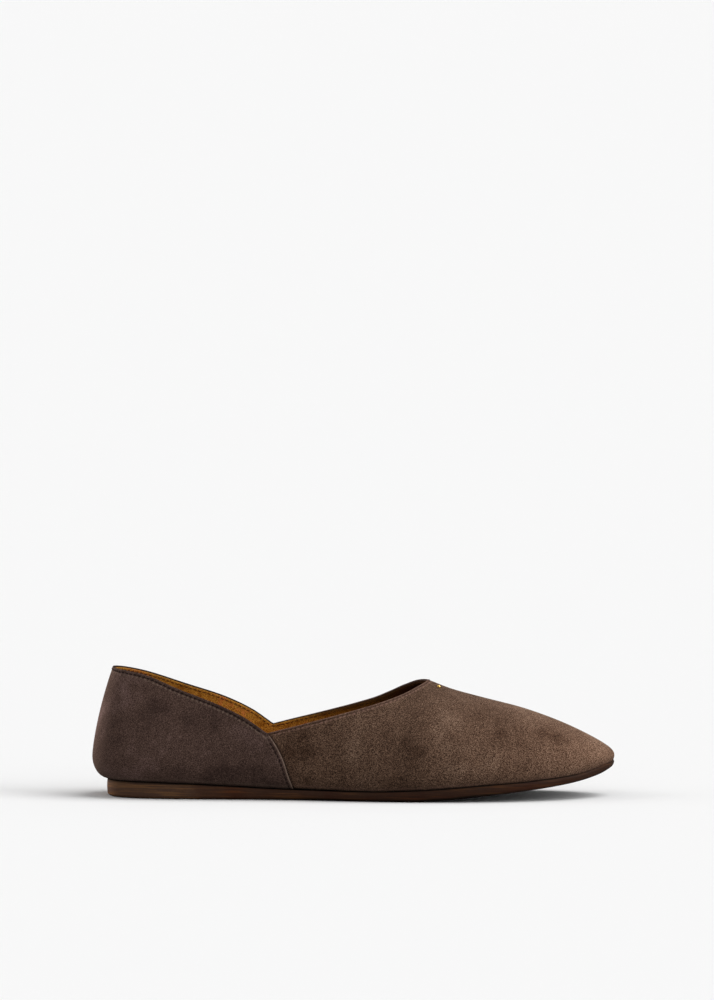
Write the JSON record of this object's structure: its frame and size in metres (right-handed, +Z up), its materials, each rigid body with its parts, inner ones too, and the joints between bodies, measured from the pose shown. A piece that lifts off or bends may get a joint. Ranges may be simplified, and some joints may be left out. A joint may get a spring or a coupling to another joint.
{
  "type": "flat shoe",
  "caption": "Right slip-on flat shoe in suede: hollow upper with a notched collar, lapped back quarter, insole and a thin leather sole with a low heel.",
  "frame": {"origin": "middle of the shoe's length and width, on the floor under the sole", "axes": "+X towards the toe, +Y towards the inner side of the right foot, +Z up"},
  "size_m": [0.26, 0.0848, 0.0644],
  "materials": {
    "sole_leather": "satin",
    "sock_leather": "matte",
    "vamp_suede": "napped, matte",
    "quarter_suede": "napped, matte",
    "brass": "polished"
  },
  "bodies": {
    "root": {"outsole": "sole_leather", "insole": "sock_leather", "upper": "vamp_suede", "quarter": "quarter_suede", "throat_stud": "brass"}
  },
  "joints": []
}
